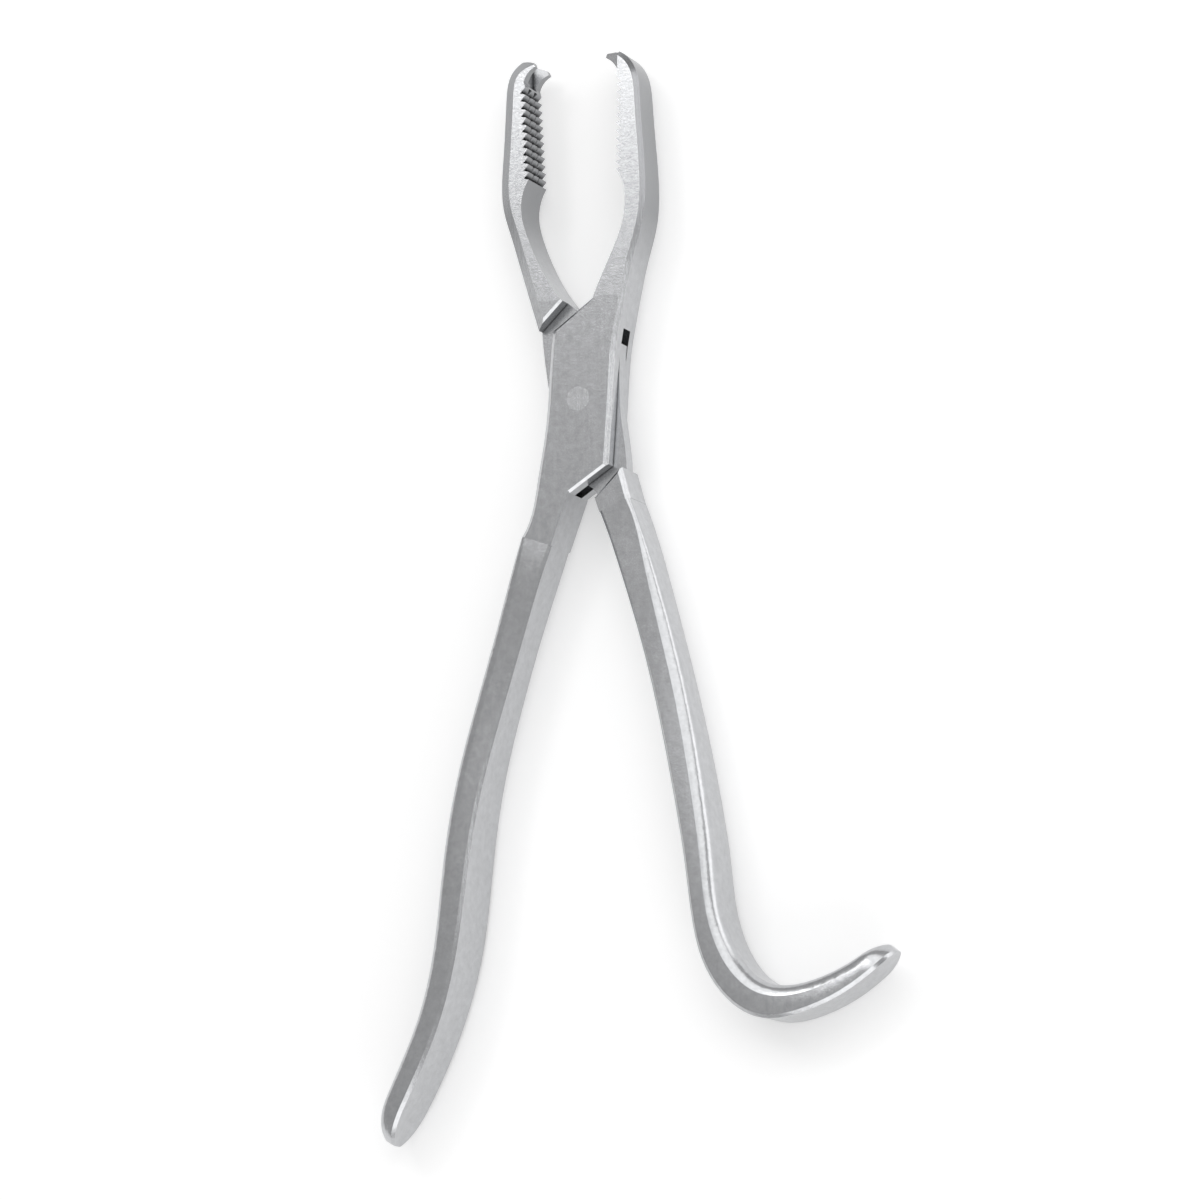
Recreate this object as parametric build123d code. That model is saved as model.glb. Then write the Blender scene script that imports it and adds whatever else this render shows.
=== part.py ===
from build123d import *
import os
from math import sqrt

# Bone holding forceps with a box joint, in the half-open pose in which they lie on a table.
# Millimetres. Seen from the front: +X right, +Y towards the jaws, +Z up out of the front face.
# The origin is the pivot axis where it meets the flat back of the box.

# Box joint
box_thickness = 9.0
tongue_thickness = 3.0
cheek_play = 0.06
box_bevel = 0.85
end_bevel = 0.45
rivet_radius = 2.35
rivet_running_gap = 0.05

# Jaws
jaw_tip_thickness = 7.6
left_jaw_bevel_drop = 1.5
left_jaw_bevel_width = 2.1
tooth_count = 12
tooth_rows = 3
tooth_land = 0.16
tooth_depth = 1.05
tooth_lean = 0.5
row_groove_width = 1.3
row_groove_depth = 0.9
claw_base_width = 2.9
claw_tip_width = 0.8
claw_clearance = 0.35
claw_gap_floor = 0.5

# Handles: breadth runs through the thickness of the tool, depth lies in its plane.
# Length and spread run from the root of a handle to its furthest point along Y and X.
left_handle_length = 112.3
left_handle_spread = 33.6
right_handle_length = 97.0
right_handle_spread = 57.8
grip_breadth = 12.8
grip_depth = 6.4
edge_land = 0.6
left_root_depth = 6.7
left_end_breadth = 11.6
left_end_depth = 5.3
left_nose = 9.0
right_root_depth = 6.6
hook_breadth = 12.0
bend_depth = 5.7
hook_depth = 6.9
hook_end_breadth = 9.5
hook_end_depth = 4.6
hook_nose = 7.0

# Outlines in the plane of the tool, as (x, y)
left_crest_low = (-10.5, 44.0)
left_crest_high = (-11.55, 62.6)
left_claw_root = (-11.8, 63.5)
left_claw_hollow = (-11.0, 65.1)
left_claw_tip = (-9.4, 66.3)
left_claw_nose = (-9.7, 67.1)
left_claw_brow = (-11.0, 67.6)
left_claw_crown = (-12.6, 67.9)
left_inner_curve = [(-3.4, 19.4), (-6.7, 24.0), (-9.1, 28.6), (-11.2, 33.9), (-12.1, 38.0), (-11.6, 41.8)]
left_outer_curve = [(-15.2, 65.4), (-16.1, 60.0), (-16.6, 49.0), (-16.4, 38.6), (-15.0, 34.0), (-12.2, 25.0)]
right_crest_low = (7.65, 44.2)
right_crest_high = (7.9, 62.6)
right_claw_root = (6.8, 64.6)
right_claw_hollow = (5.8, 66.1)
right_claw_tip = (4.2, 67.3)
right_claw_nose = (4.5, 68.0)
right_claw_crown = (6.4, 68.0)
right_inner_curve = [(3.1, 19.5), (5.8, 25.5), (7.8, 29.9), (9.2, 34.0), (9.6, 38.0), (9.0, 42.0)]
right_outer_curve = [(9.6, 66.4), (11.4, 63.6), (12.3, 58.0), (12.9, 50.0), (13.5, 39.5), (13.0, 34.0), (11.2, 27.4),
                     (9.8, 21.5)]
box_upper_corner = (-5.5, 13.4)
box_right_side = [(8.5, 15.0), (7.5, 9.0), (6.9, 0.5), (6.5, -6.0)]
box_lower_corner = (6.0, -13.1)
box_handle_corner = (-1.9, -18.1)
box_left_side = [(-10.9, -24.0), (-8.6, -14.5), (-7.6, -9.0), (-6.6, -1.0), (-6.2, 5.5)]
slot_wall_side = (-10.0, -11.1)
slot_top_inner = (2.5, 18.8)
slot_top_side = (10.0, 11.8)
shoulder_inner = (-3.4, 19.4)
shoulder_outer = (-8.8, 14.2)
handle_shoulder_inner = (3.4, -19.3)
handle_shoulder_outer = (8.8, -13.9)
tongue_left_flank = [(-8.3, 9.0), (-7.3, 2.5), (-6.6, -2.5), (-7.2, -7.5), (-8.0, -10.4)]
tongue_relief = (2.0, -17.2)
tongue_right_flank = [(8.3, -8.6), (7.5, -2.5), (7.3, 2.5), (7.3, 7.0), (7.6, 10.6)]
left_handle_root = (-5.6, -28.0)
right_handle_root = (4.4, -22.3)

# The flat inner faces of the handles from root to end, as shares of their spread and length
left_handle_line = [(0.0, 0.0), (-0.164, 0.142), (-0.298, 0.272), (-0.423, 0.413), (-0.497, 0.553),
                    (-0.565, 0.693), (-0.702, 0.825), (-0.89, 0.94), (-1.0, 1.0)]
right_handle_line = [(0.0, 0.0), (0.098, 0.167), (0.184, 0.349), (0.267, 0.571), (0.307, 0.7),
                     (0.334, 0.81), (0.379, 0.898), (0.479, 0.974), (0.624, 1.0), (0.79, 0.967),
                     (0.915, 0.925), (1.0, 0.876)]

# Breadth, depth and squareness of the handle sections, each at a share of the way along
left_breadths = [(0, box_thickness), (0.2, box_thickness), (0.64, grip_breadth), (0.9, left_end_breadth)]
left_depths = [(0, left_root_depth), (0.4, grip_depth), (0.95, left_end_depth)]
left_squareness = [(0, 0.96), (0.16, 0.72), (1, 0.65)]
right_breadths = [(0, box_thickness), (0.2, box_thickness), (0.62, grip_breadth), (0.8, hook_breadth),
                  (0.95, hook_end_breadth)]
right_depths = [(0, right_root_depth), (0.35, grip_depth), (0.58, bend_depth), (0.74, hook_depth),
                (0.96, hook_end_depth)]
right_squareness = [(0, 0.96), (0.22, 0.72), (0.6, 0.65), (0.8, 0.72), (1, 0.65)]
left_stations = 8
right_stations = 12
nose_stations = (0.3, 0.58, 0.82, 0.97)

mid = box_thickness / 2
beyond = 2 * left_handle_length
cut_over = 0.5


def point(xy, z=0.0):
    return Vector(xy[0], xy[1], z)


def curve(points):
    return Spline(*[point(p) for p in points])


def along(a, b, share):
    return (a[0] + (b[0] - a[0]) * share, a[1] + (b[1] - a[1]) * share)


def laid_out(line, root, spread, length):
    """The points of a handle line in millimetres."""
    return [(root[0] + spread * x, root[1] - length * y) for x, y in line]


left_spine = laid_out(left_handle_line, left_handle_root, left_handle_spread, left_handle_length)
right_spine = laid_out(right_handle_line, right_handle_root, right_handle_spread, right_handle_length)


def slab(outline, low, high):
    """A closed outline in the plane of the tool, raised from low to high."""
    return Pos(0, 0, low) * extrude(make_face(outline), high - low)


def keyed(keys, share):
    """The smooth blend of (share, value) keys."""
    for (s0, v0), (s1, v1) in zip(keys, keys[1:]):
        if share <= s1:
            t = max(0.0, (share - s0) / (s1 - s0))
            return v0 + (v1 - v0) * t * t * (3 - 2 * t)
    return keys[-1][1]


def handle_section(origin, tangent, side, breadth, depth, squareness):
    """One D-shaped cross-section: a flat towards the other handle, a convex outer face."""
    outward = Vector(tangent.Y, -tangent.X, 0) * side
    frame = Plane(origin=origin, x_dir=outward, z_dir=tangent)
    sign = 1 if frame.y_dir.Z > 0 else -1
    half = breadth / 2
    land = min(edge_land, depth / 4, half / 4)

    def at(x, y):
        return (x, sign * y)

    bend_x, bend_y = depth * (1 - squareness) + land, half * (1 - squareness) + land
    sag = (1 - squareness) * land
    front_end, side_end = (depth - bend_x, half - sag), (depth - sag, half - bend_y)
    front_middle = ((land + front_end[0]) / 2, half)
    front_lead = (front_end[0] + bend_x / 2, half - 2 * sag)
    side_lead = (depth - 2 * sag, side_end[1] + bend_y / 2)
    side_middle = (depth, side_end[1] / 2)

    def mirrored(points):
        return [at(x, -y) for x, y in reversed(points)]

    front = [(land, half), front_middle, front_end]
    bend = [front_end, front_lead, side_lead, side_end]
    outline = [
        Line(at(0, -half + land), at(0, half - land)),
        Line(at(0, half - land), at(land, half)),
        Bezier(*[at(x, y) for x, y in front]),
        Bezier(*[at(x, y) for x, y in bend]),
        Bezier(at(*side_end), at(*side_middle), at(side_middle[0], -side_middle[1]), at(side_end[0], -side_end[1])),
        Bezier(*mirrored(bend)),
        Bezier(*mirrored(front)),
        Line(at(land, -half), at(0, -half + land)),
    ]
    return frame * make_face(outline)


def handle(spine_points, side, breadths, depths, squareness, nose, stations):
    """A handle lofted through D sections along its flat, with a rounded nose."""
    spine = Spline(*[point(p, mid) for p in spine_points])
    nose_share = nose / spine.length
    shares = [(1 - nose_share) * i / (stations - 1) for i in range(stations)]
    shares += [1 - nose_share * (1 - into) for into in nose_stations]
    sections = []
    for share in shares:
        into_nose = max(0.0, (share - (1 - nose_share)) / nose_share)
        rounding = sqrt(1 - into_nose * into_nose)
        breadth = keyed(breadths, share) * rounding
        depth = keyed(depths, share) * (1 + 2 * rounding) / 3
        sections.append(
            handle_section(spine @ share, spine % share, side, breadth, depth, keyed(squareness, share))
        )
    return loft(sections)


def tooth_cutters(start, end, lean):
    """Grooves that leave rows of pointed teeth from start to end of a crest line."""
    run = point(end) - point(start)
    frame = Plane(origin=point(start, mid), x_dir=run, z_dir=(0, 0, 1))
    pitch = run.length / tooth_count
    spread = (pitch - tooth_land) / 2 * (1 + cut_over / tooth_depth)
    cutters = []
    for i in range(tooth_count):
        centre = pitch * (i + 0.5)
        groove = Polyline((centre - spread, -cut_over), (centre + spread, -cut_over), (centre + lean, tooth_depth),
                          close=True)
        cutters.append(frame * extrude(make_face(groove), box_thickness, both=True))
    row_pitch = jaw_tip_thickness / tooth_rows
    row_spread = row_groove_width / 2 * (1 + cut_over / row_groove_depth)
    cross = Plane(origin=frame.origin, x_dir=frame.y_dir, z_dir=frame.x_dir)
    for k in range(1, tooth_rows):
        height = (k - tooth_rows / 2) * row_pitch
        groove = Polyline((-cut_over, height - row_spread), (-cut_over, height + row_spread),
                          (row_groove_depth, height), close=True)
        cutters.append(cross * extrude(make_face(groove), run.length))
    return cutters


def jaw_side_view():
    """The jaws seen from the side: they taper gently from the box to the tips."""
    root = right_inner_curve[0][1]
    top = left_claw_crown[1] + claw_base_width
    thin = (box_thickness - jaw_tip_thickness) / 2
    outline = Polyline((-beyond, -box_thickness), (root, -box_thickness), (root, 0), (top, thin),
                       (top, box_thickness - thin), (root, box_thickness), (root, 2 * box_thickness),
                       (-beyond, 2 * box_thickness), close=True)
    return Plane.YZ * extrude(make_face(outline), beyond, both=True)


def rim(solid, guide):
    """The front and back edges of a solid that follow a guide curve at z = 0."""
    edges = []
    for edge in solid.edges():
        spots = [edge @ share for share in (0.2, 0.5, 0.8)]
        level = all(abs(spot.Z - mid) > jaw_tip_thickness / 3 for spot in spots)
        if level and all(guide.distance_to(Vector(spot.X, spot.Y, 0)) < 0.02 for spot in spots):
            edges.append(edge)
    return edges


def side_face(solid, guide):
    """The upright face of a solid that follows a guide curve."""
    middle = guide @ 0.5
    return min(solid.faces(), key=lambda face: face.distance_to(Vector(middle.X, middle.Y, mid)))


def end_bevels(start, end):
    """Wedges that bevel the front and back edges of a straight end; the metal lies left of start to end."""
    run = point(end) - point(start)
    outward = run.cross(Vector(0, 0, 1)).normalized()
    over = end_bevel / 2
    cutters = []
    for height, sign in ((box_thickness, 1), (0, -1)):
        frame = Plane(origin=point(start, height), x_dir=outward, z_dir=run)
        up = sign * (1 if frame.y_dir.Z > 0 else -1)
        wedge = Polyline((-end_bevel - over, over * up), (over, over * up), (over, -(end_bevel + over) * up),
                         close=True)
        cutters.append(frame * extrude(make_face(wedge), run.length))
    return cutters


def root_edge(spine_points, side, depth):
    """The inner and outer end of a handle's root, square to its flat."""
    spine = curve(spine_points)
    tangent = spine % 0
    inner = spine @ 0
    outer = inner + Vector(tangent.Y, -tangent.X, 0) * side * depth
    return (inner.X, inner.Y), (outer.X, outer.Y)


def left_jaw():
    back = curve([left_claw_crown] + left_outer_curve + [shoulder_outer])
    outline = [
        curve(left_inner_curve + [left_crest_low]),
        Line(left_crest_low, left_crest_high),
        Line(left_crest_high, left_claw_root),
        curve([left_claw_root, left_claw_hollow, left_claw_tip]),
        Line(left_claw_tip, left_claw_nose),
        curve([left_claw_nose, left_claw_brow, left_claw_crown]),
        back,
        Line(shoulder_outer, left_inner_curve[0]),
    ]
    jaw = slab(outline, 0, box_thickness) & jaw_side_view()
    jaw = chamfer(rim(jaw, back), left_jaw_bevel_drop, left_jaw_bevel_width, reference=side_face(jaw, back))
    jaw = jaw - end_bevels(shoulder_outer, left_inner_curve[0])
    return jaw - tooth_cutters(left_crest_low, left_crest_high, -tooth_lean) - claw_gap()


def claw_gap():
    """The wedge between the two claws of the left jaw, open towards the other jaw."""
    base = left_claw_root[0] - claw_gap_floor
    tip = left_claw_tip[0] + claw_base_width
    low, high = left_claw_root[1] - claw_gap_floor, left_claw_crown[1] + claw_base_width
    narrow = claw_base_width / 2 + claw_clearance
    wide = jaw_tip_thickness / 2 - claw_tip_width / 2
    outline = Polyline((base, -narrow), (tip, -wide), (tip, wide), (base, narrow), close=True)
    frame = Plane(origin=(0, low, mid), x_dir=(1, 0, 0), z_dir=(0, 1, 0))
    return frame * extrude(make_face(outline), high - low)


def right_jaw_and_box():
    root_inner, root_outer = root_edge(left_spine, 1, left_root_depth)
    right_side = curve([right_claw_crown] + right_outer_curve + box_right_side + [box_lower_corner])
    left_side = curve([root_outer] + box_left_side + [box_upper_corner])
    outline = [
        curve(right_inner_curve + [right_crest_low]),
        Line(right_crest_low, right_crest_high),
        Line(right_crest_high, right_claw_root),
        curve([right_claw_root, right_claw_hollow, right_claw_tip]),
        Line(right_claw_tip, right_claw_nose),
        Line(right_claw_nose, right_claw_crown),
        right_side,
        Line(box_lower_corner, box_handle_corner),
        Line(box_handle_corner, root_inner),
        Line(root_inner, root_outer),
        left_side,
        Line(box_upper_corner, right_inner_curve[0]),
    ]
    body = slab(outline, 0, box_thickness) & jaw_side_view()
    body = chamfer(rim(body, right_side), box_bevel)
    body = chamfer(rim(body, left_side), box_bevel)
    body = body - end_bevels(box_handle_corner, box_lower_corner)
    body = body - end_bevels(right_inner_curve[0], box_upper_corner)
    return body - tooth_cutters(right_crest_high, right_crest_low, tooth_lean) - claw_flanks()


def claw_flanks():
    """Wedges that leave one middle claw on the right jaw."""
    base = right_crest_high[0]
    tip = right_claw_tip[0] - claw_base_width
    low, high = right_crest_high[1] + claw_gap_floor, right_claw_crown[1] + claw_base_width
    wide, narrow = claw_base_width / 2, claw_tip_width / 2
    cutters = []
    for sign in (1, -1):
        outline = Polyline((base, sign * wide), (tip, sign * narrow), (tip, sign * box_thickness),
                           (base, sign * box_thickness), close=True)
        frame = Plane(origin=(0, high, mid), x_dir=(1, 0, 0), z_dir=(0, -1, 0))
        cutters.append(frame * extrude(make_face(outline), high - low))
    return cutters


def slot():
    """The way through the box for the tongue, closed by a wall at each end."""
    far = 2 * box_thickness
    low_out = along(slot_wall_side, box_handle_corner, 1.8)
    top_out = along(slot_top_side, slot_top_inner, 1.8)
    low_side = along(box_handle_corner, slot_wall_side, 1.4)
    top_side = along(slot_top_inner, slot_top_side, 1.4)
    outline = Polyline(low_side, low_out, (far, low_out[1]), (far, top_side[1]), top_side, top_out,
                       (-far, top_out[1]), (-far, low_side[1]), close=True)
    half = tongue_thickness / 2 + cheek_play
    return slab([outline], mid - half, mid + half)


def tongue():
    outline = [
        Line(shoulder_inner, shoulder_outer),
        curve([shoulder_outer] + tongue_left_flank),
        Line(tongue_left_flank[-1], tongue_relief),
        Line(tongue_relief, handle_shoulder_inner),
        Line(handle_shoulder_inner, handle_shoulder_outer),
        curve([handle_shoulder_outer] + tongue_right_flank),
        Line(tongue_right_flank[-1], shoulder_inner),
    ]
    return slab(outline, mid - tongue_thickness / 2, mid + tongue_thickness / 2)


def left_handle():
    return handle(left_spine, 1, left_breadths, left_depths, left_squareness, left_nose, left_stations)


def right_handle():
    return handle(right_spine, -1, right_breadths, right_depths, right_squareness, hook_nose, right_stations)


def right_handle_block():
    """The full-thickness shoulder block between the tongue and the lofted handle."""
    root_inner, root_outer = root_edge(right_spine, -1, right_root_depth)
    side = Line(handle_shoulder_outer, root_outer)
    outline = [
        Line(handle_shoulder_inner, handle_shoulder_outer),
        side,
        Line(root_outer, root_inner),
        Line(root_inner, handle_shoulder_inner),
    ]
    block = slab(outline, 0, box_thickness)
    block = chamfer(rim(block, side), box_bevel)
    return block - end_bevels(handle_shoulder_outer, handle_shoulder_inner)


def box_arm():
    arm = right_jaw_and_box() + left_handle()
    arm = arm - slot()
    return arm - Pos(0, 0, mid) * Cylinder(rivet_radius, 2 * box_thickness)


def tongue_arm():
    arm = left_jaw() + tongue() + right_handle_block() + right_handle()
    return arm - Pos(0, 0, mid) * Cylinder(rivet_radius + rivet_running_gap, 2 * box_thickness)


def pivot_rivet():
    return Pos(0, 0, mid) * Cylinder(rivet_radius, box_thickness)


os.makedirs("parts", exist_ok=True)
pieces = {"box_arm": box_arm(), "tongue_arm": tongue_arm(), "pivot_rivet": pivot_rivet()}
for name, piece in pieces.items():
    export_step(piece, f"parts/{name}.step")
    print(name, "volume", round(piece.volume), "solids", len(piece.solids()))
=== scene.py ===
# %% [markdown]
# # Bone holding forceps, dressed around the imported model
#
# The tool is three pieces of stainless steel: an arm with the box of the joint, an arm with the thin
# tongue that passes through that box, and the rivet they turn on. Every piece is hard metal, so the
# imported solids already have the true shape. What is left for Blender is the finish: satin steel that
# has been ground, brushed and glass-beaded by hand, and the soft white studio it lies in.

import math

import bmesh
import bpy
from mathutils import Matrix, Vector


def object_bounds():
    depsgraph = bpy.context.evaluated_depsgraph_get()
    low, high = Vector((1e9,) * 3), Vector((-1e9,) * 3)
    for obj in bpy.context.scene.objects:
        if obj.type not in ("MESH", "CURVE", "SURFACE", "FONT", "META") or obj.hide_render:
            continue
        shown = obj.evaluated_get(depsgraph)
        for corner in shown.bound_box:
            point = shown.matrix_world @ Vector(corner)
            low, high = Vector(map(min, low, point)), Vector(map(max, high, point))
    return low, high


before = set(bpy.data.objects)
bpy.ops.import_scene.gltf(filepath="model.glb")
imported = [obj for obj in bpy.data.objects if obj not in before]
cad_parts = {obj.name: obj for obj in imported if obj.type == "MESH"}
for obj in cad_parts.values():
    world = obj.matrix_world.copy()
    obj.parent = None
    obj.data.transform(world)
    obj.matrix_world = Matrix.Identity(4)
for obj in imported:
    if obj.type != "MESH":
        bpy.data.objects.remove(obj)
cad_low, cad_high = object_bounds()
MM = 0.001
print("nodes:", sorted(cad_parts))
print("size in mm:", [round(v / MM, 1) for v in (cad_high - cad_low)])

# %% [markdown]
# ## The camera
#
# The camera looks down at the tool from its right and a little from the handles' side, through a long
# lens. The angles were fitted to the photograph and the distance is an estimate. The camera could be aimed
# with a constraint, but three perpendicular directions written into its matrix say exactly the same and
# need no helper object. The pivot sits above the middle of the picture, so the lens axis, which has angles
# of its own, is turned slightly away from it.

# %% Camera
SWING, LIFT, DISTANCE = math.radians(24.0), math.radians(12.3), 950 * MM
AXIS_SWING, AXIS_LIFT = math.radians(23.741), math.radians(9.992)
PIXELS_PER_MM, FRAME_PIXELS, SENSOR_MM = 5.27, 1200, 36.0
BOX_THICKNESS = 9.0 * MM
pivot_front = Vector((0, 0, BOX_THICKNESS))


def toward(swing, lift):
    """The direction from the tool to a viewer who swings right and leans to the handles' side."""
    return Vector((math.sin(swing) * math.cos(lift), -math.sin(lift), math.cos(swing) * math.cos(lift)))


camera = bpy.data.objects.new("camera", bpy.data.cameras.new("camera"))
bpy.context.collection.objects.link(camera)
back = toward(AXIS_SWING, AXIS_LIFT)
right = Vector((math.cos(AXIS_SWING), 0, -math.sin(AXIS_SWING)))
above = back.cross(right)
turn = Matrix((right, above, back)).transposed().to_4x4()
camera.matrix_world = Matrix.Translation(pivot_front + DISTANCE * toward(SWING, LIFT)) @ turn
camera.data.sensor_width = SENSOR_MM
camera.data.lens = PIXELS_PER_MM / MM * DISTANCE / FRAME_PIXELS * SENSOR_MM
camera.data.clip_start, camera.data.clip_end = 0.05, 20
bpy.context.scene.camera = camera
print("lens in mm:", round(camera.data.lens, 1))

# %% [markdown]
# ## Helpers for materials
#
# A finish is a small graph of nodes. One helper adds any node with its settings and links, so that each
# material below reads as a list of what the surface has. Colours are written as they look on a screen
# and turned to linear light once, here.


# %% Material helpers
def linear(hex_colour):
    """A screen colour such as #F2F2F2 as linear red, green, blue and alpha."""
    channels = [int(hex_colour[i:i + 2], 16) / 255 for i in (1, 3, 5)]
    curve = [c / 12.92 if c <= 0.04045 else ((c + 0.055) / 1.055) ** 2.4 for c in channels]
    return (*curve, 1.0)


def add(tree, kind, settings=None, **inputs):
    """Adds one node. An input is a value or another node's output, and i6 means its input number 6."""
    node = tree.nodes.new(kind)
    for name, value in (settings or {}).items():
        setattr(node, name, value)
    for name, value in inputs.items():
        key = int(name[1:]) if name[0] == "i" and name[1:].isdigit() else name.replace("_", " ")
        socket = node.inputs[key]
        if isinstance(value, bpy.types.NodeSocket):
            tree.links.new(value, socket)
        else:
            socket.default_value = value
    return node


def new_material(name):
    """An empty material and the tree that its nodes go into."""
    material = bpy.data.materials.new(name)
    material.use_nodes = True
    material.node_tree.nodes.clear()
    return material, material.node_tree


# %% [markdown]
# ## Satin stainless steel
#
# Forceps are forged, ground on a belt, and then blasted with glass beads and lightly brushed, so that
# theatre lamps don't glare. The eye sees a neutral grey with soft reflections and a fine cloudy mottle. A
# picture of scratched metal could be wrapped round the arms, but noise in object space follows the solids
# without seams and stays put when the jaws move. The mottle is noise 1.4 mm across that dulls the colour.


# %% Mottled colour
MOTTLE_ACROSS, DULLEST = 10 / 7 * MM, 0.84


def mottled(tree, place, colour):
    cloud = add(tree, "ShaderNodeTexNoise", Vector=place, Scale=1 / MOTTLE_ACROSS, Detail=6.0,
                Roughness=0.7)
    clear = add(tree, "ShaderNodeMapRange", Value=cloud.outputs["Fac"], From_Min=0.3, From_Max=0.7)
    dull = [c * DULLEST for c in linear(colour)[:3]] + [1.0]
    return add(tree, "ShaderNodeMix", {"data_type": "RGBA"}, Factor=clear.outputs[0], i6=dull,
               i7=linear(colour)).outputs[2]


# %% [markdown]
# ## The darker flanks of the jaws
#
# The flanks of the jaws, with the teeth, are painted a darker grey than the brushed fronts: painted
# shade that stands in for the darker reflections those sides show. A second material on those faces would
# leave a hard border. So the finish asks where it is: the object-space normal tells a flank from a front,
# and the height above the rivet tells a jaw from the box.


# %% Flanks of the jaws
JAWS_BEGIN, FLANKS_FULL, TEETH_BEGIN = 24 * MM, 36 * MM, 44 * MM
FRONT_FACING, FLANK_FACING = 0.97, 0.8


def flank_of_jaws(tree, here, up):
    """1 on a flank of the jaws and 0 on a front or below the jaws."""
    facing = add(tree, "ShaderNodeSeparateXYZ", Vector=here.outputs["Normal"]).outputs["Z"]
    flat = add(tree, "ShaderNodeMath", {"operation": "ABSOLUTE"}, i0=facing).outputs[0]
    flank = add(tree, "ShaderNodeMapRange", Value=flat, From_Min=FRONT_FACING, From_Max=FLANK_FACING)
    jaws = add(tree, "ShaderNodeMapRange", Value=up, From_Min=JAWS_BEGIN, From_Max=FLANKS_FULL)
    return add(tree, "ShaderNodeMath", {"operation": "MULTIPLY"}, i0=flank.outputs[0],
               i1=jaws.outputs[0]).outputs[0]


# %% [markdown]
# ## Dark notches
#
# The notches between the teeth, the joint and the roots get painted shade: they are darkened because
# little light reaches into them. They could be painted by hand, but Ambient Occlusion measures how much of
# the space within 1.1 mm of a point is open, and finds them all. The open share above which steel gets no
# painted shade rises from the box to the teeth, because a notch between teeth is wide open on one side.


# %% Dark notches
NOTCH_SIZE, UNSHADED_AT_BOX, UNSHADED_AT_TEETH, NOTCH_FADE = 1.1 * MM, 0.7, 0.97, 0.36


def open_to_light(tree, up):
    """1 on open steel and 0 deep in a notch, where the painted shade is darkest."""
    shelter = add(tree, "ShaderNodeAmbientOcclusion", {"samples": 8}, Distance=NOTCH_SIZE)
    unshaded_at = add(tree, "ShaderNodeMapRange", Value=up, From_Min=JAWS_BEGIN, From_Max=TEETH_BEGIN,
                   To_Min=UNSHADED_AT_BOX, To_Max=UNSHADED_AT_TEETH).outputs[0]
    dark_at = add(tree, "ShaderNodeMath", {"operation": "SUBTRACT"}, i0=unshaded_at, i1=NOTCH_FADE)
    return add(tree, "ShaderNodeMapRange", Value=shelter.outputs["AO"], From_Min=dark_at.outputs[0],
               From_Max=unshaded_at).outputs[0]


# %% [markdown]
# ## The whole finish
#
# Along the tool run hair-fine marks of the brush. Real ones are far finer and would vanish in the picture,
# so they are drawn 0.4 mm wide and sixteen times as long. The marks vary the roughness, and with the struck
# surface of the blasting, 0.5 mm across, they are a little height. The rivet is ground off flush after the
# joint is made, so it is a touch lighter than the arms.


# %% Steel
MARK_ACROSS, MARK_SQUEEZE, STRIKE_ACROSS = 0.4 * MM, 0.06, 0.5 * MM
ROUGHNESS_SPREAD, GRAIN_HEIGHT = 0.05, 0.02 * MM
# Painted shade: the flank grey darkens the flanks of the jaws.
# Painted shade: the notch grey darkens the notches, the joint and the roots.
FLANK_SHADE_GREY, NOTCH_SHADE_GREY = "#9A9B9D", "#2E2F31"


def steel(name, colour, roughness):
    material, tree = new_material(name)
    here = add(tree, "ShaderNodeTexCoord")
    place = here.outputs["Object"]
    up = add(tree, "ShaderNodeSeparateXYZ", Vector=place).outputs["Y"]
    # Painted shade: the flanks of the jaws are mixed toward the darker flank grey.
    flanks = add(tree, "ShaderNodeMix", {"data_type": "RGBA"}, Factor=flank_of_jaws(tree, here, up),
                 i6=mottled(tree, place, colour), i7=linear(FLANK_SHADE_GREY))
    # Painted shade: sheltered places are mixed toward the dark notch grey.
    tint = add(tree, "ShaderNodeMix", {"data_type": "RGBA"}, Factor=open_to_light(tree, up),
               i6=linear(NOTCH_SHADE_GREY), i7=flanks.outputs[2])
    squeezed = add(tree, "ShaderNodeMapping", Vector=place, Scale=(1.0, MARK_SQUEEZE, 1.0)).outputs[0]
    marks = add(tree, "ShaderNodeTexNoise", Vector=squeezed, Scale=1 / MARK_ACROSS, Detail=3.0)
    strikes = add(tree, "ShaderNodeTexNoise", Vector=place, Scale=1 / STRIKE_ACROSS, Detail=2.0)
    rough = add(tree, "ShaderNodeMapRange", Value=marks.outputs["Fac"], To_Min=roughness - ROUGHNESS_SPREAD,
                To_Max=roughness + ROUGHNESS_SPREAD)
    grain = add(tree, "ShaderNodeMath", {"operation": "ADD"}, i0=marks.outputs["Fac"],
                i1=strikes.outputs["Fac"])
    height = add(tree, "ShaderNodeBump", Height=grain.outputs[0], Strength=0.5, Distance=GRAIN_HEIGHT)
    surface = add(tree, "ShaderNodeBsdfPrincipled", Base_Color=tint.outputs[2], Metallic=1.0,
                  Roughness=rough.outputs[0], Normal=height.outputs[0])
    add(tree, "ShaderNodeOutputMaterial", Surface=surface.outputs[0])
    return material


arm_finish = steel("satin_stainless_steel", "#C6C7C9", 0.24)
rivet_finish = steel("ground_stainless_rivet", "#D0D1D3", 0.26)
for name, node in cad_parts.items():
    finish = rivet_finish if name == "pivot_rivet" else arm_finish
    for slot in node.material_slots:
        slot.material = finish
    print(name, "has", len(node.material_slots), "slot of", finish.name)

# %% [markdown]
# ## The table and the light
#
# The photograph is a catalogue picture on white. A large floor just under the tool takes its soft shadow.
# To be white without more light on the steel, the floor adds a faint light of its own, which only the
# camera and the steel's reflections see.

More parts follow.
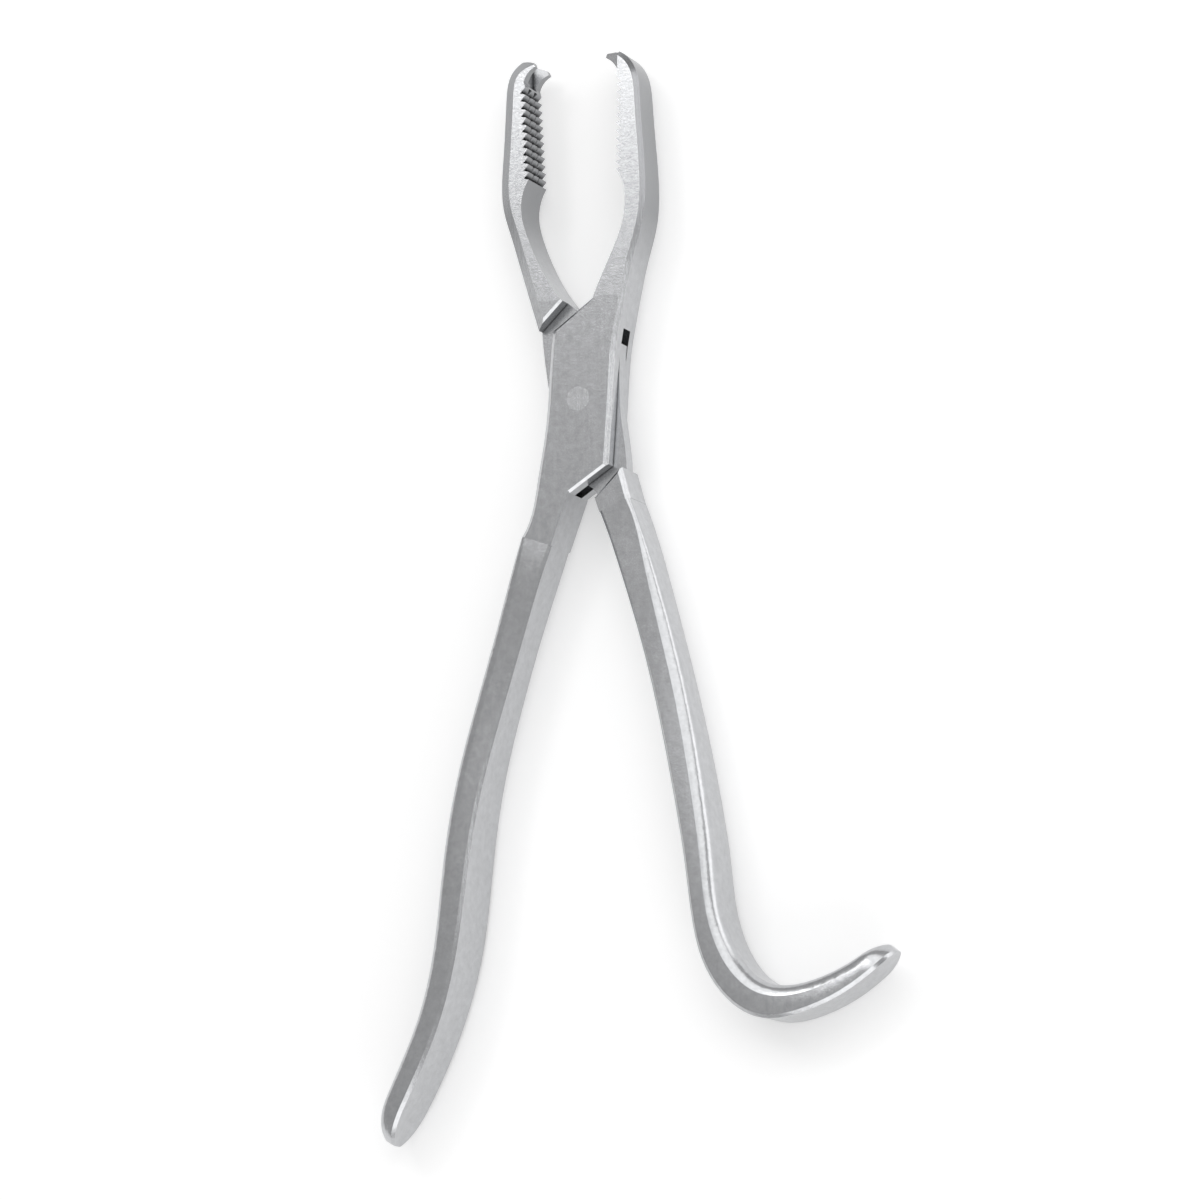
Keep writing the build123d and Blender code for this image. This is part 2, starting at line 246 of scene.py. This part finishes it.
# %% Floor
FLOOR_REACH, FLOOR_GAP, FLOOR_GLOW = 3.0, 0.2 * MM, 0.3
floor_mesh = bpy.data.meshes.new("floor")
sheet = bmesh.new()
bmesh.ops.create_grid(sheet, x_segments=1, y_segments=1, size=FLOOR_REACH)
bmesh.ops.translate(sheet, verts=sheet.verts, vec=(0, 0, cad_low.z - FLOOR_GAP))
sheet.to_mesh(floor_mesh)
sheet.free()
floor = bpy.data.objects.new("floor", floor_mesh)
bpy.context.collection.objects.link(floor)
paper, tree = new_material("white_table")
ray = add(tree, "ShaderNodeLightPath")
seen = add(tree, "ShaderNodeMath", {"operation": "MAXIMUM"}, i0=ray.outputs["Is Camera Ray"],
           i1=ray.outputs["Is Glossy Ray"])
glow = add(tree, "ShaderNodeMath", {"operation": "MULTIPLY"}, i0=seen.outputs[0], i1=FLOOR_GLOW)
matt = add(tree, "ShaderNodeBsdfDiffuse", Color=linear("#F2F2F2"))
light = add(tree, "ShaderNodeEmission", Color=(1, 1, 1, 1), Strength=glow.outputs[0])
both = add(tree, "ShaderNodeAddShader", i0=matt.outputs[0], i1=light.outputs[0])
add(tree, "ShaderNodeOutputMaterial", Surface=both.outputs[0])
floor_mesh.materials.append(paper)
print("floor at", round((cad_low.z - FLOOR_GAP) / MM, 1), "mm")

# %% [markdown]
# ## The studio light
#
# Steel shows what stands round it, so its tones come from the places of the lamps more than from their
# power. An even grey world gives the front of the box its middle grey. The overhead softbox lights the
# ridges of the handles, the jaw softbox whitens the fronts of the jaws, which lean a little away from the
# box, the front softbox draws the bright bevels, and the right softbox lights the right-hand flanks.

# %% World
world = bpy.data.worlds.new("studio")
bpy.context.scene.world = world
world.use_nodes = True
tree = world.node_tree
tree.nodes.clear()
sky = add(tree, "ShaderNodeBackground", Color=(1, 1, 1, 1), Strength=0.5)
add(tree, "ShaderNodeOutputWorld", Surface=sky.outputs[0])
print("world strength:", sky.inputs["Strength"].default_value)


# %% Softboxes
def softbox(name, place, size, power):
    """A rectangular lamp that faces the pivot; place and size in metres, power in watts."""
    data = bpy.data.lights.new(name, "AREA")
    data.shape, data.size, data.size_y, data.energy = "RECTANGLE", size[0], size[1], power
    item = bpy.data.objects.new(name, data)
    item.location = place
    item.rotation_euler = (-Vector(place)).to_track_quat("-Z", "Y").to_euler()
    bpy.context.collection.objects.link(item)


softbox("overhead_softbox", (0.25, 0.76, 1.16), (1.9, 1.2), 7.8)
softbox("jaw_softbox", (-0.5, 0.68, 1.1), (0.42, 0.3), 1.2)
softbox("front_softbox", (0.4, -1.1, 0.5), (1.2, 0.6), 3.2)
softbox("right_softbox", (1.2, 0.38, 0.26), (1.3, 0.6), 3.4)
bpy.context.scene.view_settings.view_transform = "Standard"
print("softboxes:", sorted(item.name for item in bpy.data.lights))
